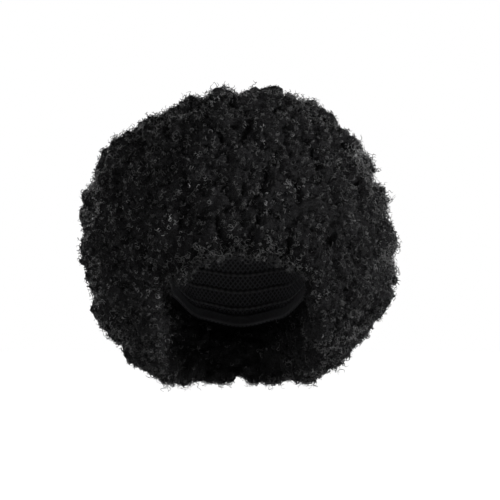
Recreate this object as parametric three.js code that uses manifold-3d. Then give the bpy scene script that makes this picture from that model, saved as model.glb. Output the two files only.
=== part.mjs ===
// A round afro wig: a stretch-net cap with an elastic edge, and five wefts of tight curls sewn round it.
// Millimetres, Z up. The front opening faces -Y, and the left side is +X.
// The origin is the highest point inside the cap, where the wig sits when it is worn.

import * as THREE from "three";
import { mergeVertices } from "three/addons/utils/BufferGeometryUtils.js";
import Module from "manifold-3d";

const wasm = await Module();
wasm.setup();

// The inside of the cap: a rounded form about a centre straight below the crown
const CAP_HALF_WIDTH = 77;
const CAP_FRONT = 94;
const CAP_BACK = 101;
const CAP_CROWN = 95;
const CAP_BELOW = 98;
const CAP_SQUARENESS = 2.15;
const CAP_CENTRE = new THREE.Vector3(0, 0, -CAP_CROWN);

// The cap's net, and the elastic sewn inside its edge
const CAP_WALL = 1.5;
const BAND_WIDTH = 12;
const BAND_WALL = 1.2;
const BAND_INSET = 1;
const SEAM_GAP = 0.3;

// The hair's outer form: its reach from its own centre to the tips of the locks
const HAIR_CENTRE_DROP = 63;
const HAIR_CENTRE_BACK = 12;
const HAIR_HALF_WIDTH = 169;
const HAIR_FRONT = 151;
const HAIR_BACK = 167;
const HAIR_TOP = 160;
const HAIR_BELOW = 170;
const HAIR_CENTRE = new THREE.Vector3(0, HAIR_CENTRE_BACK, -HAIR_CENTRE_DROP);

// The front opening, and the hollow below the cap that it leads back to
const OPENING_HALF_WIDTH = 69;
const OPENING_DROP = 81; // from the crown to the fringe's lower edge
const OPENING_LENGTH = 150; // from the fringe's lower edge to the ends of the side locks
const HOLLOW_BACK = 66;

// The locks: rings of rounded tufts about the crown's swirl, and smaller ones round the opening
const RING_ANGLE = THREE.MathUtils.degToRad(20);
const SWIRL_LEAN = THREE.MathUtils.degToRad(20); // how far behind straight up the swirl lies
const LOCK_PLUMPNESS = 0.74; // radius of a lock's tip over the distance between locks
const LOCK_UNEVENNESS = 0.12; // how far size and place vary, as a share
const RIM_LOCK = 22; // radius of a lock at the opening
const RIM_LOCK_PITCH = 37;
const RIM_LOCK_SHOWING = 11; // how far the locks at the opening stand out of the mass
const BACKING_DEPTH = 26; // from the tips of the locks to the mass that they grow from
const WEFT_GAP = 0.33; // between two wefts where they leave the cap

// The cap's edge from the front round to the nape: how far it comes down, as the angle from
// straight up at the cap's centre, with the ear tabs at 76 degrees
const CAP_EDGE = [
  { turn: 0, down: 62 },
  { turn: 30, down: 65 },
  { turn: 58, down: 82 },
  { turn: 76, down: 102 },
  { turn: 96, down: 93 },
  { turn: 118, down: 111 },
  { turn: 150, down: 123 },
  { turn: 180, down: 127 },
];

// The hair's outline from the front and the side: its reach at each angle from straight up,
// as a share of the plain rounded form
const OUTLINE = [
  { down: 0, left: 1.0, right: 1.0, front: 1.0, back: 1.0 },
  { down: 18, left: 1.03, right: 0.98, front: 1.0, back: 1.0 },
  { down: 36, left: 0.98, right: 1.01, front: 1.02, back: 1.01 },
  { down: 54, left: 0.98, right: 1.01, front: 1.0, back: 1.02 },
  { down: 72, left: 0.96, right: 1.01, front: 1.0, back: 1.0 },
  { down: 90, left: 0.98, right: 1.01, front: 1.01, back: 1.0 },
  { down: 108, left: 1.03, right: 1.01, front: 0.98, back: 1.01 },
  { down: 126, left: 1.0, right: 1.03, front: 0.93, back: 1.0 },
  { down: 144, left: 1.0, right: 1.02, front: 0.88, back: 0.99 },
  { down: 162, left: 1.06, right: 1.03, front: 0.9, back: 0.98 },
  { down: 180, left: 1.0, right: 1.0, front: 0.9, back: 1.0 },
];

// The opening's edge on each side, from the fringe down: the drop as a share of its length,
// the sides as a share of its half width
const OPENING = [
  { drop: 0, right: 0.28, left: 0.22 },
  { drop: 0.05, right: 0.72, left: 0.66 },
  { drop: 0.2, right: 1.04, left: 0.97 },
  { drop: 0.4, right: 1.04, left: 0.95 },
  { drop: 0.7, right: 0.98, left: 0.99 },
  { drop: 1, right: 0.93, left: 1.0 },
];

// The wefts from the crown down, with the rings of locks that each one carries
const WEFTS = [
  { name: "crown_weft", rings: 2 },
  { name: "upper_weft", rings: 2 },
  { name: "middle_weft", rings: 1 },
  { name: "fringe_weft", rings: 2 },
  { name: "nape_weft", rings: 2 },
];

// Faces round and down each rounded form, and round and down the cuts between wefts
const TURNS = 30;
const STEPS = 14;
const CUT_TURNS = 12;
const CUT_STEPS = 6;

const HAIR = new THREE.MeshStandardMaterial({ color: 0x0b0b0c, roughness: 0.62, flatShading: true });
const NET = new THREE.MeshStandardMaterial({ color: 0x17171a, roughness: 0.85, flatShading: true });
const ELASTIC = new THREE.MeshStandardMaterial({ color: 0x101013, roughness: 0.75, flatShading: true });

const { degToRad, radToDeg, lerp } = THREE.MathUtils;

// Unit vector at an angle down from straight up, turned from the front towards the left side
function heading(down, turn) {
  return new THREE.Vector3(Math.sin(down) * Math.sin(turn), -Math.sin(down) * Math.cos(turn), Math.cos(down));
}

// Reach of a rounded form with its own half sizes before, behind, above and below its centre
function roundedReach(way, halfWidth, front, back, above, below, squareness) {
  const x = Math.abs(way.x) / halfWidth;
  const y = Math.abs(way.y) / (way.y < 0 ? front : back);
  const z = Math.abs(way.z) / (way.z > 0 ? above : below);
  return (x ** squareness + y ** squareness + z ** squareness) ** (-1 / squareness);
}

// Reach of the cap's inside from its centre
function capReach(way) {
  return roundedReach(way, CAP_HALF_WIDTH, CAP_FRONT, CAP_BACK, CAP_CROWN, CAP_BELOW, CAP_SQUARENESS);
}

// A smooth value between the rows of a table, by its key column
function between(table, key, column, at) {
  const next = Math.max(1, table.findIndex((row) => row[key] >= at));
  const [low, high] = [table[next - 1], table[next]];
  return lerp(low[column], high[column], THREE.MathUtils.smoothstep(at, low[key], high[key]));
}

// Reach of the hair to the tips of its locks
function hairReach(way) {
  const down = Math.min(180, radToDeg(way.angleTo(new THREE.Vector3(0, 0, 1))));
  const side = between(OUTLINE, "down", way.x > 0 ? "left" : "right", down);
  const end = between(OUTLINE, "down", way.y < 0 ? "front" : "back", down);
  const sideways = way.x ** 2 / (way.x ** 2 + way.y ** 2 || 1);
  const plain = roundedReach(way, HAIR_HALF_WIDTH, HAIR_FRONT, HAIR_BACK, HAIR_TOP, HAIR_BELOW, 2);
  return plain * lerp(end, side, sideways);
}

// The last place along a line that is still inside, to a millionth of its length
function lastInside(inside, from, to) {
  for (const least = Math.abs(to - from) * 1e-6; Math.abs(to - from) > least; ) {
    const middle = (from + to) / 2;
    if (inside(middle)) from = middle;
    else to = middle;
  }
  return from;
}

function inForm(point, centre, reach) {
  const arm = point.clone().sub(centre);
  return arm.length() < reach(arm.clone().normalize());
}

// The faces of a lathe, each point put by its turn and by its share of the way down
function gridBody(turns, steps, place) {
  const profile = Array.from({ length: steps + 1 }, (_, i) => new THREE.Vector2(1, i));
  const grid = new THREE.LatheGeometry(profile, turns);
  const { position, uv } = grid.attributes;
  for (let i = 0; i < position.count; i++) {
    const point = place(((1 - uv.getX(i)) % 1) * 2 * Math.PI, uv.getY(i));
    position.setXYZ(i, point.x, point.y, point.z);
  }
  return solid(grid);
}

// A closed geometry as a solid that can be joined and cut
function solid(geometry) {
  geometry.deleteAttribute("normal");
  geometry.deleteAttribute("uv");
  const { index, attributes } = mergeVertices(geometry, 1e-3);
  const corners = [];
  for (let i = 0; i < index.count; i += 3) {
    const [a, b, c] = [index.getX(i), index.getX(i + 1), index.getX(i + 2)];
    if (a !== b && b !== c && c !== a) corners.push(a, b, c);
  }
  const vertProperties = attributes.position.array;
  return new wasm.Manifold(new wasm.Mesh({ numProp: 3, vertProperties, triVerts: new Uint32Array(corners) }));
}

function named(name, body, material) {
  const { vertProperties, triVerts } = body.getMesh();
  const geometry = new THREE.BufferGeometry();
  geometry.setAttribute("position", new THREE.BufferAttribute(vertProperties, 3));
  geometry.setIndex(new THREE.BufferAttribute(triVerts, 1));
  geometry.computeVertexNormals();
  const mesh = new THREE.Mesh(geometry, material);
  mesh.name = name;
  return mesh;
}

// A solid about a centre, by its reach in every direction
function formAbout(centre, reach) {
  return gridBody(TURNS, STEPS, (turn, along) => {
    const way = heading(Math.PI * along, turn);
    return way.multiplyScalar(reach(way)).add(centre);
  });
}

// The cap's inside form, grown by so much
function capForm(proud) {
  return formAbout(CAP_CENTRE, (way) => capReach(way) + proud);
}

// How far down the cap reaches at each turn, the same on both sides
function capEdge(turn) {
  const aside = Math.abs(radToDeg(Math.atan2(Math.sin(turn), Math.cos(turn))));
  return degToRad(between(CAP_EDGE, "turn", "down", aside));
}

// All that lies above the cap's edge, or above a line a little higher than the edge
function aboveEdge(rise) {
  return gridBody(TURNS, STEPS, (turn, along) => {
    if (along === 1) return CAP_CENTRE.clone();
    const edge = capEdge(turn);
    const line = edge - rise / capReach(heading(edge, turn));
    const share = (along * STEPS) / (STEPS - 1);
    return heading(line * share, turn).multiplyScalar(2 * CAP_BACK).add(CAP_CENTRE);
  });
}

// The net cap, open below
function makeCap() {
  return capForm(CAP_WALL).subtract(capForm(0)).intersect(aboveEdge(0));
}

// The band lies inside the cap, a little above its edge
function makeBand() {
  const wall = capForm(-SEAM_GAP).subtract(capForm(-SEAM_GAP - BAND_WALL));
  return wall.intersect(aboveEdge(BAND_INSET)).subtract(aboveEdge(BAND_INSET + BAND_WIDTH));
}

// What the hair leaves free inside: the cap, and the hollow below it
function makeHollow() {
  const length = HAIR_CENTRE_DROP + HAIR_BELOW - CAP_CROWN;
  const below = new THREE.CylinderGeometry(1, 1, 2 * length, TURNS);
  below.rotateX(Math.PI / 2);
  below.scale(OPENING_HALF_WIDTH, HOLLOW_BACK, 1);
  below.translate(0, 0, -CAP_CROWN - length);
  return capForm(CAP_WALL + SEAM_GAP).add(solid(below));
}

// The opening's edge as seen from the front, from the right side up and over to the left
function openingEdge() {
  const point = (row, side) =>
    new THREE.Vector2(side * OPENING_HALF_WIDTH, -OPENING_DROP - row.drop * OPENING_LENGTH);
  const right = OPENING.map((row) => point(row, -row.right)).reverse();
  return new THREE.SplineCurve([...right, ...OPENING.map((row) => point(row, row.left))]);
}

// The point so far outside the opening's edge, at a share of the edge's length
function besideOpening(edge, share, beyond) {
  const [at, along] = [edge.getPointAt(share), edge.getTangentAt(share)];
  return new THREE.Vector2(at.x - along.y * beyond, at.y + along.x * beyond);
}

// What the hair's mass leaves free in front, where the smaller locks then stand
function makeFrontSpace() {
  const edge = openingEdge();
  const corners = Array.from({ length: CUT_TURNS + 1 }, (_, i) =>
    besideOpening(edge, i / CUT_TURNS, RIM_LOCK_SHOWING),
  );
  const outline = new THREE.Shape(corners);
  const space = new THREE.ExtrudeGeometry(outline, { depth: 2 * HAIR_FRONT, bevelEnabled: false });
  space.rotateX(Math.PI / 2);
  return solid(space);
}

// Repeatable uneven values from -1 to 1: a lock's size, its place along and across, and its turn
function unevenValues(seed) {
  THREE.MathUtils.seededRandom(seed);
  return Array.from({ length: 5 }, () => 2 * THREE.MathUtils.seededRandom() - 1);
}

// A rounded tuft of hair
function makeLock(centre, radius, tip, spin) {
  const lock = new THREE.IcosahedronGeometry(radius, 1);
  lock.rotateX(tip * Math.PI);
  lock.rotateZ(spin * Math.PI);
  lock.translate(centre.x, centre.y, centre.z);
  return solid(lock);
}

// A heading measured from the crown's swirl
function swirlHeading(down, turn) {
  return heading(down, turn).applyAxisAngle(new THREE.Vector3(1, 0, 0), -SWIRL_LEAN);
}

// The locks of one ring, their tips on the hair's outer form, with none under the hollow
function makeRing(ring) {
  const down = ring * RING_ANGLE;
  const count = Math.max(1, Math.round((2 * Math.PI * Math.sin(down)) / RING_ANGLE));
  const locks = [];
  for (let i = 0; i < count; i++) {
    const [size, along, across, tilt, spin] = unevenValues(100 * ring + i);
    const turn = ((i + (ring % 2) / 2 + LOCK_UNEVENNESS * along) * 2 * Math.PI) / count;
    const way = swirlHeading(ring ? down + LOCK_UNEVENNESS * RING_ANGLE * across : 0, turn);
    const reach = hairReach(way);
    const tip = way.clone().multiplyScalar(reach).add(HAIR_CENTRE);
    if (way.z < 0 && Math.hypot(tip.x / OPENING_HALF_WIDTH, tip.y / HOLLOW_BACK) < 1) continue;
    const radius = reach * RING_ANGLE * LOCK_PLUMPNESS * (1 + LOCK_UNEVENNESS * size);
    locks.push(makeLock(tip.addScaledVector(way, -radius), radius, tilt, spin));
  }
  return locks;
}

// Smaller locks round the opening, from the hair's outer form back to the cap
function makeRimLocks() {
  const edge = openingEdge();
  const count = Math.round(edge.getLength() / RIM_LOCK_PITCH);
  const locks = [];
  for (let i = 0; i <= count; i++) {
    const [size, , , tilt, spin] = unevenValues(1000 + i);
    const radius = RIM_LOCK * (1 + LOCK_UNEVENNESS * size);
    const middle = besideOpening(edge, i / count, radius);
    const centre = (y) => new THREE.Vector3(middle.x, y, middle.y);
    const inHair = (y) => inForm(centre(y), HAIR_CENTRE, (way) => hairReach(way) - radius);
    const inCap = (y) => inForm(centre(y), CAP_CENTRE, capReach);
    const last = inCap(0) ? lastInside(inCap, 0, -2 * CAP_FRONT) : 0;
    for (let y = lastInside(inHair, last, -2 * HAIR_FRONT); y < last; y += RIM_LOCK_PITCH) {
      locks.push(makeLock(centre(y), radius, tilt, spin));
    }
  }
  return locks;
}

// The space of one weft, between two cones about the hair's centre
function makeSpace(from, to) {
  const far = 2 * HAIR_BACK;
  return gridBody(CUT_TURNS, CUT_STEPS, (turn, along) => {
    if (along === 0 || along === 1) return HAIR_CENTRE.clone();
    const share = (along * CUT_STEPS - 1) / (CUT_STEPS - 2);
    return swirlHeading(lerp(from, to, share), turn).multiplyScalar(far).add(HAIR_CENTRE);
  });
}

// All wefts: the backing and its locks, cut into one space for each weft
function makeWefts() {
  const backing = formAbout(HAIR_CENTRE, (way) => hairReach(way) - BACKING_DEPTH);
  const ringCount = WEFTS.reduce((sum, weft) => sum + weft.rings, 0);
  const locks = Array.from({ length: ringCount }, (_, ring) => makeRing(ring)).flat();
  const open = wasm.Manifold.union([backing, ...locks]).subtract(makeFrontSpace());
  const hair = wasm.Manifold.union([open, ...makeRimLocks()]).subtract(makeHollow());
  const slit = WEFT_GAP / CAP_HALF_WIDTH / 2;
  let ring = 0;
  return WEFTS.map((weft, place) => {
    const from = ring ? (ring - 0.5) * RING_ANGLE + slit : 0;
    ring += weft.rings;
    const to = place === WEFTS.length - 1 ? Math.PI : (ring - 0.5) * RING_ANGLE - slit;
    return named(weft.name, hair.intersect(makeSpace(from, to)), HAIR);
  });
}

const wig = new THREE.Group();
wig.add(named("cap", makeCap(), NET));
wig.add(named("elastic_band", makeBand(), ELASTIC));
wig.add(...makeWefts());

export default wig;
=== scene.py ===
# A round afro wig: dense black curls sewn in five wefts round a stretch-net cap with an elastic edge.
# Metres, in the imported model's frame: the front opening faces -Y, and the origin is the highest
# point inside the cap.

import math

import bpy
import numpy as np
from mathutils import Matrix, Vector, noise
from mathutils.bvhtree import BVHTree
from mathutils.kdtree import KDTree


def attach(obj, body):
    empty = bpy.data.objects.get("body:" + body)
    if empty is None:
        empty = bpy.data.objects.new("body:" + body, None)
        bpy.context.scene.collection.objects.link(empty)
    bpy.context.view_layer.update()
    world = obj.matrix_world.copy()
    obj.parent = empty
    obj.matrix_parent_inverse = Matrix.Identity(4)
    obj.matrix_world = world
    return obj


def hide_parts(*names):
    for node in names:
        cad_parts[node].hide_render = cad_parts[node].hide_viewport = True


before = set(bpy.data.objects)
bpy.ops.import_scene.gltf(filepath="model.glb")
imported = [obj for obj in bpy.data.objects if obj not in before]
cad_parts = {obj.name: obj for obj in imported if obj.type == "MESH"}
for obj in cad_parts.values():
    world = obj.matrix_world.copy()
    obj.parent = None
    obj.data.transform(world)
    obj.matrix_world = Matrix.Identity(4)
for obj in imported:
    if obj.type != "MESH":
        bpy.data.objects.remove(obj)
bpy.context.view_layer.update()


# The cap: a close-fitting dome of black stretch net, cut lower at the nape and in two side tabs.
# The net is knitted in small diamonds, and the hair is sewn all over its outside.

CAP_HALF_WIDTH = 0.077
CAP_FRONT = 0.094
CAP_BACK = 0.101
CAP_CROWN = 0.095
CAP_BELOW = 0.098
CAP_SQUARENESS = 2.15
CAP_WALL = 0.0015
CAP_EDGE_TURNS = [0, 30, 58, 76, 96, 118, 150, 180]  # degrees from the front
CAP_EDGE_DOWNS = [62, 65, 82, 102, 93, 111, 123, 127]  # degrees from straight up
NET_DIAMOND = 0.0032
NET_LEAN = math.radians(45)
NET_ROUND = 0.53  # the net's length once round the cap
NET_DOWN = 0.155  # and from the crown to the edge
WAVE_LENGTH = 0.314  # of Blender's wave texture at a scale of 1


def select_only(*objects):
    bpy.ops.object.select_all(action="DESELECT")
    for each in objects:
        each.select_set(True)
    bpy.context.view_layer.objects.active = objects[0]


def modify(piece, kind, **settings):
    """Adds a modifier and applies it."""
    select_only(piece)
    modifier = piece.modifiers.new(kind.lower(), kind)
    for key, value in settings.items():
        setattr(modifier, key, value)
    bpy.ops.object.modifier_apply(modifier=modifier.name)


def cap_edge(turn):
    """How far down the cap comes, as an angle from straight up, at a turn from the front."""
    aside = math.degrees(abs(math.atan2(math.sin(turn), math.cos(turn))))
    row = max(1, next(i for i, at in enumerate(CAP_EDGE_TURNS) if at >= aside - 1e-6))
    low, high = CAP_EDGE_TURNS[row - 1], CAP_EDGE_TURNS[row]
    share = (aside - low) / (high - low)
    share = share * share * (3 - 2 * share)
    return math.radians(CAP_EDGE_DOWNS[row - 1] * (1 - share) + CAP_EDGE_DOWNS[row] * share)


def on_cap(down, turn, proud):
    """The place so far outside the cap's inner side, in one direction from its centre."""
    x, y = math.sin(down) * math.sin(turn), -math.sin(down) * math.cos(turn)
    z = math.cos(down)
    share = abs(x / CAP_HALF_WIDTH) ** CAP_SQUARENESS
    share += abs(y / (CAP_FRONT if y < 0 else CAP_BACK)) ** CAP_SQUARENESS
    share += abs(z / (CAP_CROWN if z > 0 else CAP_BELOW)) ** CAP_SQUARENESS
    reach = share ** (-1 / CAP_SQUARENESS) + proud
    return Vector((x * reach, y * reach, z * reach - CAP_CROWN))


def cap_sheet(name, turns, rows, place):
    """A sheet that runs all round the cap, each point put by its turn and its share across."""
    bpy.ops.object.select_all(action="DESELECT")
    bpy.ops.mesh.primitive_grid_add(x_subdivisions=turns, y_subdivisions=rows, size=1)
    sheet = bpy.context.active_object
    sheet.name = sheet.data.name = name
    for vertex in sheet.data.vertices:
        vertex.co = place(2 * math.pi * (vertex.co.x + 0.5), vertex.co.y + 0.5)
    bpy.ops.object.mode_set(mode="EDIT")
    bpy.ops.mesh.select_all(action="SELECT")
    bpy.ops.mesh.remove_doubles(threshold=1e-5)
    bpy.ops.mesh.normals_make_consistent(inside=False)
    bpy.ops.object.mode_set(mode="OBJECT")
    bpy.ops.object.shade_smooth()
    return sheet


def plain_finish(name, colour, roughness, specular):
    """A new material, with its shader to add the surface's own detail to."""
    finish = bpy.data.materials.new(name)
    finish.use_nodes = True
    shader = finish.node_tree.nodes["Principled BSDF"]
    shader.inputs["Base Color"].default_value = (*colour, 1)
    shader.inputs["Roughness"].default_value = roughness
    shader.inputs["Specular IOR Level"].default_value = specular
    return finish, shader


def node(finish, kind, **settings):
    """A new shader node, each setting put on the node itself or on its socket of that name."""
    made = finish.node_tree.nodes.new(kind)
    for key, value in settings.items():
        if hasattr(made, key):
            setattr(made, key, value)
        else:
            made.inputs[key.replace("_", " ")].default_value = value
    return made


def wire(finish, source, target):
    finish.node_tree.links.new(source, target)


def bands(finish, source, **settings):
    """Parallel threads, ribs or stitches along a map."""
    wave = node(finish, "ShaderNodeTexWave", wave_type="BANDS", **settings)
    wire(finish, source, wave.inputs["Vector"])
    return wave.outputs["Fac"]


def ranged(finish, value, **ends):
    """A value stretched from its old ends to new ones."""
    stretched = node(finish, "ShaderNodeMapRange", **ends)
    wire(finish, value, stretched.inputs["Value"])
    return stretched.outputs["Result"]


def combined(finish, operation, first, second):
    """Two values joined in one."""
    both = node(finish, "ShaderNodeMath", operation=operation)
    wire(finish, first, both.inputs[0])
    wire(finish, second, both.inputs[1])
    return both.outputs[0]


def tinted(finish, shader, value, dark, light):
    """Colours the finish from dark to light as the value rises."""
    ink = node(finish, "ShaderNodeMix", data_type="RGBA")
    ink.inputs["A"].default_value = (*dark, 1)
    ink.inputs["B"].default_value = (*light, 1)
    wire(finish, value, ink.inputs["Factor"])
    wire(finish, ink.outputs["Result"], shader.inputs["Base Color"])


def raised(finish, shader, value, strength, distance):
    """Gives the finish a fine relief that stands out as the value rises."""
    relief = node(finish, "ShaderNodeBump", Strength=strength, Distance=distance)
    wire(finish, value, relief.inputs["Height"])
    wire(finish, relief.outputs["Normal"], shader.inputs["Normal"])


def sewn(piece, slot, *nodes):
    """Rides the piece on the wig, in place of the plain solids that it stands for."""
    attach(piece, "root")
    if nodes:
        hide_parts(*nodes)


def net_place(turn, share):
    return on_cap(cap_edge(turn) * share, turn, 0)


cap = cap_sheet("net_cap", turns=144, rows=44, place=net_place)
modify(cap, "SOLIDIFY", thickness=CAP_WALL, offset=1)

net_finish, shader = plain_finish("black_stretch_net", (0.02, 0.02, 0.022), roughness=0.8, specular=0.25)
net_map = node(net_finish, "ShaderNodeUVMap", uv_map="UVMap")
threads = []
for lean in (NET_LEAN, -NET_LEAN):
    laid = node(net_finish, "ShaderNodeMapping", Rotation=(0, 0, lean), Scale=(NET_ROUND, NET_DOWN, 1))
    wire(net_finish, net_map.outputs["UV"], laid.inputs["Vector"])
    threads.append(bands(net_finish, laid.outputs["Vector"], Scale=WAVE_LENGTH / NET_DIAMOND))
thread = combined(net_finish, "MAXIMUM", *threads)
knit = ranged(net_finish, thread, From_Min=0.55, From_Max=0.9)
tinted(net_finish, shader, knit, dark=(0.004, 0.004, 0.0045), light=(0.03, 0.03, 0.033))
raised(net_finish, shader, knit, strength=0.6, distance=0.0006)
cap.data.materials.append(net_finish)
sewn(cap, "net", "cap")


# The elastic: a ribbed black band sewn flat inside the cap's edge, drawn in a little so that it
# puckers between its stitches.

BAND_WIDTH = 0.012
BAND_WALL = 0.0012
BAND_INSET = 0.001
SEAM_GAP = 0.0003
BAND_PUCKERS = 96
PUCKER_DEPTH = 0.00025
PUCKER_MIDDLE = 0.4  # how much of its depth a pucker keeps half way across the band
EDGE_REACH = 0.09  # from the cap's centre to its edge, to turn a width into an angle


def band_place(turn, share):
    rise = (BAND_INSET + BAND_WIDTH * share) / EDGE_REACH
    across = PUCKER_MIDDLE + (1 - PUCKER_MIDDLE) * abs(2 * share - 1)
    pucker = PUCKER_DEPTH * (math.sin(BAND_PUCKERS * turn) - 1) * across
    return on_cap(cap_edge(turn) - rise, turn, pucker - SEAM_GAP)


band = cap_sheet("elastic_edge", turns=288, rows=5, place=band_place)
modify(band, "SOLIDIFY", thickness=BAND_WALL, offset=-1)

elastic_finish, shader = plain_finish("black_elastic", (0.016, 0.016, 0.018), roughness=0.6, specular=0.35)
band_map = node(elastic_finish, "ShaderNodeUVMap", uv_map="UVMap")
ribs = bands(elastic_finish, band_map.outputs["UV"], bands_direction="Y", Scale=2.6)
raised(elastic_finish, shader, ribs, strength=0.5, distance=0.0005)
band.data.materials.append(elastic_finish)
sewn(band, "elastic", "elastic_band")


# The weft tracks: flat tapes of folded and stitched fibre ends that carry the curls. They run round
# the cap in rows, and show inside it as ridges with a line of zigzag stitches.

TRACKS = 10
FIRST_TRACK = 1.7  # rows down from the crown
CAP_EDGE_ROW = 11.9  # where the cap's edge comes, counted in the same rows
TRACK_WIDTH = 0.0034
TRACK_THICK = 0.0007
TRACK_GAP = 0.0001  # between the net and the tape


def track_place(row):
    """The places of one row's tape inside the net."""

    def place(turn, share):
        down = cap_edge(turn) * (row + FIRST_TRACK) / CAP_EDGE_ROW
        down += (share - 0.5) * TRACK_WIDTH / EDGE_REACH
        return on_cap(down, turn, -TRACK_GAP)

    return place


tracks = [
    cap_sheet("weft_tracks", turns=96, rows=1, place=track_place(row)) for row in range(TRACKS)
]
for track in tracks:
    modify(track, "SOLIDIFY", thickness=TRACK_THICK, offset=-1)
select_only(*tracks)
bpy.ops.object.join()
tracks = bpy.context.active_object

track_finish, shader = plain_finish("black_weft_tape", (0.014, 0.014, 0.015), roughness=0.65, specular=0.3)
track_map = node(track_finish, "ShaderNodeUVMap", uv_map="UVMap")
stitches = bands(track_finish, track_map.outputs["UV"], Scale=28.0, Distortion=1.5)
tinted(track_finish, shader, stitches, dark=(0.008, 0.008, 0.009), light=(0.030, 0.030, 0.032))
raised(track_finish, shader, stitches, strength=0.7, distance=0.0005)
tracks.data.materials.append(track_finish)
sewn(tracks, "net")


# The hair's mass: the wefts' fibres packed round the cap, too dense to see between.
# It is the locks of all five wefts grown together, a little under the curls that cover it, and
# it stands in tufts of two sizes with valleys between them.

WEFTS = ["crown_weft", "upper_weft", "middle_weft", "fringe_weft", "nape_weft"]
HAIR_CENTRE = np.array([0, 0.012, -0.063])
MASS_GRAIN = 0.0047
MASS_DEPTH = 0.0002  # how far the mass lies under the solids' surface
ROOT_REACH = 0.014  # from where the mass is sewn down to where it stands free
# the distance between tufts and their height: large ones, and smaller ones on them
TUFTS = [(0.032, 0.0075), (0.014, 0.0035)]
TUFT_STEEPNESS = 2.2
TUFT_ROUNDNESS = 0.6
TUFT_LEVEL = 0.7  # the share of a tuft's height that lies under the mass's even surface
TANGLE = 0.0075
TANGLE_RISE = 0.0055
# fuller and thinner places of the outline seen from the front: degrees from straight up
# towards the left side, and the rise in metres
LUMPS = [
    (8, -0.003), (28, 0.006), (56, 0.003), (84, 0.003), (100, -0.002), (110, 0.006),
    (134, 0.004), (153, 0.009), (180, 0.010), (202, 0.010), (222, 0.005), (240, 0.002),
    (262, -0.004), (276, 0.003), (292, 0.005), (308, 0.006), (326, -0.005),
]
LUMP_WIDTH = 5.5  # degrees
LUMP_DEPTH = 0.06  # how far a lump runs to the front and the back
# where a tuft of the outline has worked loose, so that light shows through its curls
LOOSE_TUFTS = [23, 56, 66, 80, 98, 290, 311, 328, 344, 359]
LOOSE_WIDTH = 3.6
LOOSE_DEPTH = 0.045
LOOSE_DROP = 0.009
# under the nape, where the hair is cut to length, the tufts lose some of their height
CUT_FLATNESS = 0.6
CUT_SLOPE = 2.5
# the fringe's lower edge: an arch that comes down at its ends, on the front of the mass alone
FRINGE_EDGE = -0.079
FRINGE_ARCH = 0.016
FRINGE_HALF_WIDTH = 0.065
FRINGE_BAND = 0.015
FRINGE_ENDS = 0.070
FRINGE_FORWARD = 0.055
FRINGE_FADE = 0.03
FRINGE_DROP = 0.010
# it hangs lower on the right side
FRINGE_SIDE_DROP = 0.020
FRINGE_SIDE = 0.056
FRINGE_SIDE_WIDTH = 0.020
rng = np.random.default_rng(7)


def merged_copy(nodes, name):
    """One object of copies of the nodes, their loose triangles merged."""
    copies = []
    for each in nodes:
        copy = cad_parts[each].copy()
        copy.data = copy.data.copy()
        bpy.context.collection.objects.link(copy)
        copies.append(copy)
    select_only(*copies)
    bpy.ops.object.join()
    piece = bpy.context.view_layer.objects.active
    piece.name = piece.data.name = name
    piece.data.materials.clear()
    bpy.ops.object.mode_set(mode="EDIT")
    bpy.ops.mesh.select_all(action="SELECT")
    bpy.ops.mesh.remove_doubles(threshold=1e-6)
    bpy.ops.object.mode_set(mode="OBJECT")
    return piece


def rows_of(values):
    """A mesh's points or normals, as rows of three."""
    key = "co" if hasattr(values[0], "co") else "vector"
    rows = np.empty(3 * len(values), np.float32)
    values.foreach_get(key, rows)
    return rows.reshape(-1, 3).astype(float)


def unit(rows):
    return rows / np.maximum(np.linalg.norm(rows, axis=-1, keepdims=True), 1e-9)


def tree_from(rows):
    tree = KDTree(len(rows))
    for i, row in enumerate(rows):
        tree.insert(row, i)
    tree.balance()
    return tree


def spread(rows, apart):
    """Seeded picks from the rows that all stand at least so far apart."""
    kept = []
    taken = np.zeros(len(rows), bool)
    tree = tree_from(rows)
    for i in rng.permutation(len(rows)):
        if not taken[i]:
            kept.append(i)
            for _, near, _ in tree.find_range(rows[i], apart):
                taken[near] = True
    return rows[kept]


mass = merged_copy(WEFTS, "hair_mass")
modify(mass, "REMESH", mode="VOXEL", voxel_size=MASS_GRAIN)
modify(mass, "SMOOTH", factor=0.5, iterations=14)

cap_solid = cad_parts["cap"].data
cap_solid.calc_loop_triangles()
cap_tree = BVHTree.FromPolygons(
    [v.co.copy() for v in cap_solid.vertices], [tuple(t.vertices) for t in cap_solid.loop_triangles]
)


def off_cap(rows):
    """How far each place is from the cap's net."""
    return np.array([cap_tree.find_nearest(Vector(place))[3] for place in rows])


def fringe_share(rows):
    """How far each place belongs to the fringe's lower edge, from 0 to 1."""
    edge = FRINGE_EDGE - FRINGE_ARCH * (rows[:, 0] / FRINGE_HALF_WIDTH) ** 2
    share = np.exp(-(((rows[:, 2] - edge) / FRINGE_BAND) ** 2) - (rows[:, 0] / FRINGE_ENDS) ** 6)
    return share * np.clip(-(rows[:, 1] + FRINGE_FORWARD) / FRINGE_FADE, 0, 1)


at, facing = rows_of(mass.data.vertices), rows_of(mass.data.vertex_normals)
free = np.clip((off_cap(at) - 0.5 * MASS_GRAIN) / ROOT_REACH, 0, 1)
arms = at - HAIR_CENTRE
angle = np.degrees(np.arctan2(arms[:, 0], arms[:, 2])) % 360


def beside(middle, width, depth):
    """How near each place is to one direction of the outline, from 0 to 1."""
    off = (angle - middle + 180) % 360 - 180
    return np.exp(-((off / width) ** 2) - (arms[:, 1] / depth) ** 2)


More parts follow.
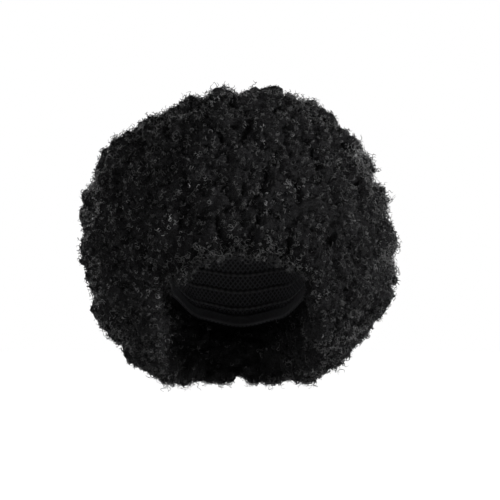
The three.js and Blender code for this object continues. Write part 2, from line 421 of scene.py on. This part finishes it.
# each tuft crowns at its own middle, and a valley parts it from the next
rise = np.zeros(len(at))
tuft_trees = []
for apart, height in TUFTS:
    middles = spread(at, apart)
    tuft_trees.append((middles, tree_from(middles)))
    for i, place in enumerate(at):
        (_, _, near), (_, _, far) = tuft_trees[-1][1].find_n(place, 2)
        crown = min(1, TUFT_STEEPNESS * (far - near) / apart) ** TUFT_ROUNDNESS
        rise[i] += height * (crown - TUFT_LEVEL)
# the curls' tangle roughens it all
rise += TANGLE_RISE * np.array([noise.noise(Vector(place / TANGLE)) for place in at])
for middle, height in LUMPS:
    rise += height * beside(middle, LUMP_WIDTH, LUMP_DEPTH)
loose = np.zeros(len(at))
for middle in LOOSE_TUFTS:
    loose += beside(middle, LOOSE_WIDTH, LOOSE_DEPTH)
rise -= LOOSE_DROP * loose
rise *= 1 - CUT_FLATNESS * np.clip(-CUT_SLOPE * facing[:, 2] - 1, 0, 1)
moved = at + (free * (rise - MASS_DEPTH))[:, None] * facing
lower_side = np.exp(-(((at[:, 0] + FRINGE_SIDE) / FRINGE_SIDE_WIDTH) ** 2))
moved[:, 2] -= (FRINGE_DROP + FRINGE_SIDE_DROP * lower_side) * fringe_share(at)
mass.data.vertices.foreach_set("co", moved.astype(np.float32).ravel())
mass.data.update()
# painted shade: each point keeps how far it lies on the fringe's lower edge, where the mass's colour is
# darkened
painted_fringe_shade = mass.data.attributes.new("painted_fringe_shade", "FLOAT", "POINT")
painted_fringe_shade.data.foreach_set("value", fringe_share(moved).astype(np.float32))


def grain(finish, **settings):
    """Noise all through a piece, at a scale in metres."""
    spot = node(finish, "ShaderNodeTexCoord")
    flecks = node(finish, "ShaderNodeTexNoise", **settings)
    wire(finish, spot.outputs["Object"], flecks.inputs["Vector"])
    return flecks.outputs["Fac"]


mass_finish, shader = plain_finish("black_hair_mass", (0.004, 0.004, 0.0042), roughness=0.75, specular=0.04)
fibres = grain(mass_finish, Scale=420.0, Detail=3.0, Distortion=2.5)
strands = ranged(mass_finish, fibres, From_Min=0.42, From_Max=0.68)
# painted shade: the mass's colour is darkened along the fringe's lower edge, where the fringe hangs in its
# own shade
painted_light_layer = node(mass_finish, "ShaderNodeAttribute", attribute_name="painted_fringe_shade")
painted_fringe_darkening = ranged(mass_finish, painted_light_layer.outputs["Fac"], To_Min=1.0, To_Max=0.2)
grain_and_painted_shade = combined(mass_finish, "MULTIPLY", strands, painted_fringe_darkening)
tinted(mass_finish, shader, grain_and_painted_shade, dark=(0.0008, 0.0008, 0.0009), light=(0.013, 0.013, 0.0135))
raised(mass_finish, shader, strands, strength=1.0, distance=0.0012)
mass.data.materials.append(mass_finish)
sewn(mass, "hair", *WEFTS)


# The curls: tight ringlets of black synthetic fibre, each a loose coil that stands out of the mass.
# They lean together in their tufts, and every weft has its own. Some lie over and show as rings.

SWIRL_LEAN = math.radians(20)  # how far behind straight up the crown's swirl lies
WEFT_EDGES = [0, 30, 70, 90, 130, 180]  # degrees from the swirl
FIBRE = 0.00036
FIBRE_SPREAD = (0.8, 1.15)  # from the thinnest fibre to the thickest, as shares
FIBRE_WOBBLE = 0.00042
COIL_LEAN = 0.4
COIL_ROOT = 0.14  # the share of a coil's height that lies under its root
CELL_MARGIN = 0.06
# Loops lie close and show as rings. Frizz stands out of the tufts that have worked loose. Wisps are
# short dull ends between the curls, and ringlets hang at the fringe and round the nape's rim.
# Of each kind: how many, their steps, the least and most coil radius, height and turns, the
# fibre's thickness as a share, and how wildly they lean.
CURL_KINDS = {
    "curls": (3000, 13, (0.0010, 0.0022), (0.0040, 0.0072), (1.7, 2.6), 1.0, 0.9),
    "loops": (5800, 8, (0.0008, 0.0019), (0.0022, 0.0050), (0.8, 1.3), 0.9, 0.9),
    "frizz": (2000, 12, (0.0012, 0.0026), (0.0050, 0.0100), (1.2, 2.4), 1.1, 0.7),
    "wisps": (7600, 4, (0.0010, 0.0019), (0.0026, 0.0052), (0.6, 1.0), 2.0, 0.9),
    "ringlets": (190, 16, (0.0016, 0.0032), (0.0060, 0.0130), (1.6, 2.6), 1.1, 0.4),
}
# a curl's lean: outwards, towards a point above its tuft, and down over the opening at the fringe
LEAN_OUT = 0.7
LEAN_TO_TUFT = 0.4
LEAN_POINT = 0.020
LEAST_LEAN_OUT = 0.3
FRINGE_DROOP = np.array([0, -0.2, -1.3])
# curls start just outside the net, with fewer where the mass turns inwards and more underneath
COVER_START = 0.0035
COVER_FADE = 0.004
COVER_LOST_INSIDE = 0.55
COVER_ADDED_BELOW = 1.5
FRIZZ_ON_LOOSE_TUFTS = 10
FRIZZ_ELSEWHERE = 0.15
NAPE_RIM = -0.212
NAPE_RINGLETS = 0.5
# tufts differ in length and in how bright their curls' painted highlights are, and a few of them stand
# longer than the rest
TUFT_LENGTHS = (0.8, 1.15)
LONG_TUFTS = 0.15
LONG_TUFT_LENGTH = 1.3
TUFT_PAINTED_HIGHLIGHTS = (0.35, 1.3)
# painted highlights: the higher this is, the fewer curls get a bright painted highlight
HIGHLIGHT_RARITY = 2.4  # the higher, the fewer curls are light
# painted shade: how far the curls' painted highlights are darkened at the fringe's lower edge
FRINGE_PAINTED_SHADE = 0.85


def scatter(piece, count, keep):
    """Seeded places all over a piece, and their normals, more of them where keep is larger."""
    mesh = piece.data
    mesh.calc_loop_triangles()
    corners = np.empty(3 * len(mesh.loop_triangles), np.int32)
    mesh.loop_triangles.foreach_get("vertices", corners)
    corners = corners.reshape(-1, 3)
    at, facing = rows_of(mesh.vertices), rows_of(mesh.vertex_normals)
    a, b, c = (at[corners[:, k]] for k in range(3))
    weight = np.linalg.norm(np.cross(b - a, c - a), axis=1) * keep[corners].mean(axis=1)
    edges = np.cumsum(weight) / weight.sum()
    # even steps over the surface spread the curls better than free draws do
    patch = np.searchsorted(edges, (np.arange(count) + rng.random(count)) / count)
    patch = np.minimum(patch, len(corners) - 1)
    u, v = rng.random(count), rng.random(count)
    flip = u + v > 1
    u[flip], v[flip] = 1 - u[flip], 1 - v[flip]
    share = np.stack([1 - u - v, u, v], axis=1)[:, :, None]
    return (at[corners[patch]] * share).sum(axis=1), unit((facing[corners[patch]] * share).sum(axis=1))


def coil_lines(root, axis, length, span, height, turns, steps):
    """The middle lines of loose coils that rise from their roots along their axes."""
    count = len(root)
    span, height, turns = (rng.uniform(low, high, count) for low, high in (span, height, turns))
    height *= length
    along = np.linspace(0, 1, steps + 1)[None, :]
    aside = unit(np.cross(axis, unit(rng.normal(size=(count, 3)))))
    across = np.cross(axis, aside)
    angle = 2 * math.pi * turns[:, None] * along + rng.uniform(0, 2 * math.pi, count)[:, None]
    angle *= rng.choice([-1, 1], count)[:, None]
    # a coil widens from its root, and draws in again at its tip
    reach = span[:, None] * (0.6 + 0.6 * along - 0.4 * along**4)
    lean = rng.uniform(-COIL_LEAN, COIL_LEAN, (count, 2)) * height[:, None]
    bend = along**2
    line = root[:, None, :] + axis[:, None, :] * (height[:, None] * (along - COIL_ROOT))[:, :, None]
    line += aside[:, None, :] * (reach * np.cos(angle) + lean[:, :1] * bend)[:, :, None]
    line += across[:, None, :] * (reach * np.sin(angle) + lean[:, 1:] * bend)[:, :, None]
    return line + rng.normal(size=line.shape) * FIBRE_WOBBLE


def fibre_mesh(name, line, radius, axis, painted_highlight):
    """Closed three-sided tubes along many lines at once, with a compact map of their own."""
    count, rings = line.shape[:2]
    along = unit(np.gradient(line, axis=1))
    out = unit(np.cross(along, axis[:, None, :]))
    over = np.cross(along, out)
    # a fibre thins towards its tip
    taper = np.interp(np.linspace(0, 1, rings), [0, 0.7, 1], [1, 0.9, 0.4])[None, :, None]
    radius = radius[:, None, None]
    corners = []
    for k in range(3):
        turn = 2 * math.pi * k / 3
        corners.append(line + radius * taper * (math.cos(turn) * out + math.sin(turn) * over))
    points = np.stack(corners, axis=2).reshape(-1, 3)

    first = (np.arange(count) * rings * 3)[:, None, None]
    ring = (np.arange(rings - 1) * 3)[None, :, None]
    side = np.arange(3)[None, None, :]
    after = (side + 1) % 3
    low, high = first + ring, first + ring + 3
    quads = np.stack([low + side, low + after, high + after, high + side], axis=3).reshape(-1, 4)
    roots = first[:, 0] + np.array([[2, 1, 0]])
    tips = first[:, 0] + 3 * (rings - 1) + np.array([[0, 1, 2]])
    ends = np.concatenate([roots, tips])

    mesh = bpy.data.meshes.new(name)
    mesh.vertices.add(len(points))
    mesh.vertices.foreach_set("co", points.astype(np.float32).ravel())
    loops = np.concatenate([quads.ravel(), ends.ravel()]).astype(np.int32)
    mesh.loops.add(len(loops))
    mesh.loops.foreach_set("vertex_index", loops)
    starts = np.concatenate([4 * np.arange(len(quads)), 4 * len(quads) + 3 * np.arange(len(ends))])
    mesh.polygons.add(len(starts))
    mesh.polygons.foreach_set("loop_start", starts.astype(np.int32))
    mesh.polygons.foreach_set("use_smooth", np.ones(len(starts), bool))
    mesh.update(calc_edges=True)

    # a cell of the map for each fibre: along it one way, and round it the other, with the two
    # ends' triangles in the cell's first and last squares
    across_cells = math.ceil(math.sqrt(3 * count / (rings + 1)))
    down_cells = math.ceil(count / across_cells)
    cell = np.arange(count)
    origin = np.stack([cell % across_cells, cell // across_cells], axis=1)
    step, side = np.meshgrid(np.arange(rings - 1) + 1, np.arange(3), indexing="ij")
    square = np.array([[0, 0], [0, 1], [1, 1], [1, 0]])
    walls = np.stack([step, side], axis=2)[:, :, None, :] + square
    root_end = np.array([[0.1, 0.6], [0.9, 0.6], [0.5, 2.4]])
    tip_end = root_end + [rings, 0]
    size = np.array([rings + 1, 3])
    corners = []
    for share in (walls[None], root_end[None], tip_end[None]):
        inner = CELL_MARGIN + (1 - 2 * CELL_MARGIN) * share / size
        spot = origin.reshape([count] + [1] * (share.ndim - 2) + [2]) + inner
        corners.append((spot / [across_cells, down_cells]).reshape(-1, 2))
    compact = mesh.uv_layers.new(name="OFBake")
    compact.data.foreach_set("uv", np.concatenate(corners).astype(np.float32).ravel())
    mesh.validate()
    # each fibre carries its curl's painted highlight, which lightens its colour
    painted_light_layer = mesh.attributes.new("painted_highlight", "FLOAT", "POINT")
    painted_light_layer.data.foreach_set("value", np.repeat(painted_highlight, 3 * rings).astype(np.float32))
    piece = bpy.data.objects.new(name, mesh)
    bpy.context.collection.objects.link(piece)
    return piece


# painted highlights: a curl's colour runs from near black to grey with its painted highlight, in random
# patches and fine painted glints, and the brighter fibres are glossier too
curl_finish, shader = plain_finish("black_curls", (0.008, 0.008, 0.0085), roughness=0.38, specular=0.4)
curl_painted_highlight = node(curl_finish, "ShaderNodeAttribute", attribute_name="painted_highlight")
patches = ranged(curl_finish, grain(curl_finish, Scale=24.0, Detail=2.0), From_Min=0.38, From_Max=0.62)
# painted glints: fine noise that breaks the curls' painted highlights into small flecks
painted_glints = ranged(curl_finish, grain(curl_finish, Scale=330.0, Detail=2.0), From_Min=0.36, From_Max=0.60)
patchy_painted_highlight = combined(curl_finish, "MULTIPLY", curl_painted_highlight.outputs["Fac"], patches)
painted_highlight_strength = combined(curl_finish, "MULTIPLY", patchy_painted_highlight, painted_glints)
tinted(curl_finish, shader, painted_highlight_strength, dark=(0.0012, 0.0012, 0.0013), light=(0.13, 0.13, 0.133))
gloss = ranged(curl_finish, painted_highlight_strength, To_Min=0.62, To_Max=0.28)
wire(curl_finish, gloss, shader.inputs["Roughness"])

turned_in = (facing * unit(arms)).sum(axis=1) < -0.1
underneath = facing[:, 2] < -0.6
covered = np.clip((off_cap(moved) - COVER_START) / COVER_FADE, 0, 1)
covered *= 1 - COVER_LOST_INSIDE * turned_in
covered *= 1 + COVER_ADDED_BELOW * underneath
frizzed = covered * (FRIZZ_ELSEWHERE + FRIZZ_ON_LOOSE_TUFTS * np.clip(loose, 0, 1))
nape_rim = (moved[:, 2] < NAPE_RIM) & (facing[:, 2] < -0.2)
drooping = fringe_share(moved) ** 2 + NAPE_RINGLETS * nape_rim

tuft_count = len(tuft_trees[0][0])
tuft_length = rng.uniform(*TUFT_LENGTHS, tuft_count)
tuft_length *= np.where(rng.random(tuft_count) < LONG_TUFTS, LONG_TUFT_LENGTH, 1)
tuft_painted_highlight = rng.uniform(*TUFT_PAINTED_HIGHLIGHTS, tuft_count)
swirl = np.array([0, math.sin(SWIRL_LEAN), math.cos(SWIRL_LEAN)])


def grow(count, where, wildness, *sizes):
    """Seeded lines of fibre on the mass that lean with their tufts, and where they root."""
    root, facing = scatter(mass, count, where)
    middles, tree = tuft_trees[0]
    tuft = np.array([tree.find(place)[1] for place in root])
    towards = unit(middles[tuft] + LEAN_POINT * unit(middles[tuft] - HAIR_CENTRE) - root)
    axis = unit(LEAN_OUT * facing + LEAN_TO_TUFT * towards + wildness * rng.normal(size=(count, 3)))
    axis = unit(axis + fringe_share(root)[:, None] * FRINGE_DROOP)
    # none may lean back into the mass
    sunk = np.maximum(0, LEAST_LEAN_OUT - (axis * facing).sum(axis=1))
    axis = unit(axis + sunk[:, None] * facing)
    return root, axis, tuft, coil_lines(root, axis, tuft_length[tuft], *sizes)


for kind, (count, steps, span, height, turns, thickness, wildness) in CURL_KINDS.items():
    where = {"ringlets": drooping, "frizz": frizzed}.get(kind, covered)
    root, axis, tuft, line = grow(count, where, wildness, span, height, turns, steps)
    down = np.degrees(np.arccos(np.clip(unit(root - HAIR_CENTRE) @ swirl, -1, 1)))
    # painted highlight: a random brightness for each curl, scaled by its tuft
    painted_highlight = np.clip(rng.random(count) ** HIGHLIGHT_RARITY * tuft_painted_highlight[tuft], 0, 1)
    # painted shade: the curls' painted highlights are darkened at the fringe's lower edge
    painted_highlight *= 1 - FRINGE_PAINTED_SHADE * fringe_share(root)
    for place, weft in enumerate(WEFTS):
        mine = (down >= WEFT_EDGES[place]) & (down < WEFT_EDGES[place + 1])
        if not mine.any():
            continue
        radius = thickness * FIBRE * rng.uniform(*FIBRE_SPREAD, mine.sum())
        hair = fibre_mesh(weft.replace("weft", kind), line[mine], radius, axis[mine], painted_highlight[mine])
        hair.data.materials.append(mass_finish if kind == "wisps" else curl_finish)
        sewn(hair, "hair", weft)


# The stage: a plain pale floor that looks evenly white from the camera, soft white light from both
# sides and behind, and a camera level with the wig.

FLOOR_SIZE = 60
FLOOR_LEVEL = -0.6
FLOOR_GLOW = 0.92
SKY_LIGHT = 0.30  # the white surround's light on the wig, where the camera sees it as full white
SENSOR_WIDTH = 36
CAMERA_DISTANCE = 2.2
VIEW_WIDTH = 0.525
VIEW_CENTRE = Vector((0.0105, 0.010, -0.0756))
CAMERA_RISE = math.radians(-2)

bpy.ops.object.select_all(action="DESELECT")
bpy.ops.mesh.primitive_plane_add(size=FLOOR_SIZE, location=(0, 0, FLOOR_LEVEL))
floor = bpy.context.active_object
floor.name = "floor"
floor_finish, shader = plain_finish("pale_floor", (0.4, 0.4, 0.4), roughness=0.9, specular=0.2)
shader.inputs["Emission Color"].default_value = (1, 1, 1, 1)
seen = node(floor_finish, "ShaderNodeLightPath")
glow = ranged(floor_finish, seen.outputs["Is Camera Ray"], To_Max=FLOOR_GLOW)
wire(floor_finish, glow, shader.inputs["Emission Strength"])
floor.data.materials.append(floor_finish)

world = bpy.data.worlds.new("white_studio")
world.use_nodes = True
background = world.node_tree.nodes["Background"]
background.inputs["Color"].default_value = (1, 1, 1, 1)
path = node(world, "ShaderNodeLightPath")
dimmed = ranged(world, path.outputs["Is Camera Ray"], To_Min=SKY_LIGHT, To_Max=1.0)
wire(world, dimmed, background.inputs["Strength"])
bpy.context.scene.world = world
bpy.context.scene.view_settings.view_transform = "Standard"


def softbox(name, place, size, power):
    """A square lamp that is turned to the wig."""
    light = bpy.data.lights.new(name, "AREA")
    light.shape = "SQUARE"
    light.size = size
    light.energy = power
    lamp = bpy.data.objects.new(name, light)
    lamp.location = place
    aim = VIEW_CENTRE - Vector(place)
    lamp.rotation_euler = aim.to_track_quat("-Z", "Y").to_euler()
    bpy.context.collection.objects.link(lamp)


softbox("key_light", place=(2.1, -1.0, 0.45), size=0.45, power=176)
softbox("fill_light", place=(-1.9, -1.4, 0.3), size=1.8, power=80)
softbox("back_light_left", place=(1.5, 1.9, 0.6), size=0.9, power=70)
softbox("back_light_right", place=(-1.5, 1.9, 0.6), size=0.9, power=70)

camera_data = bpy.data.cameras.new("camera")
camera_data.sensor_width = SENSOR_WIDTH
camera_data.lens = camera_data.sensor_width * CAMERA_DISTANCE / VIEW_WIDTH
camera = bpy.data.objects.new("camera", camera_data)
way = Vector((0, -math.cos(CAMERA_RISE), math.sin(CAMERA_RISE)))
camera.location = VIEW_CENTRE + CAMERA_DISTANCE * way
camera.rotation_euler = (-way).to_track_quat("-Z", "Y").to_euler()
bpy.context.collection.objects.link(camera)
bpy.context.scene.camera = camera
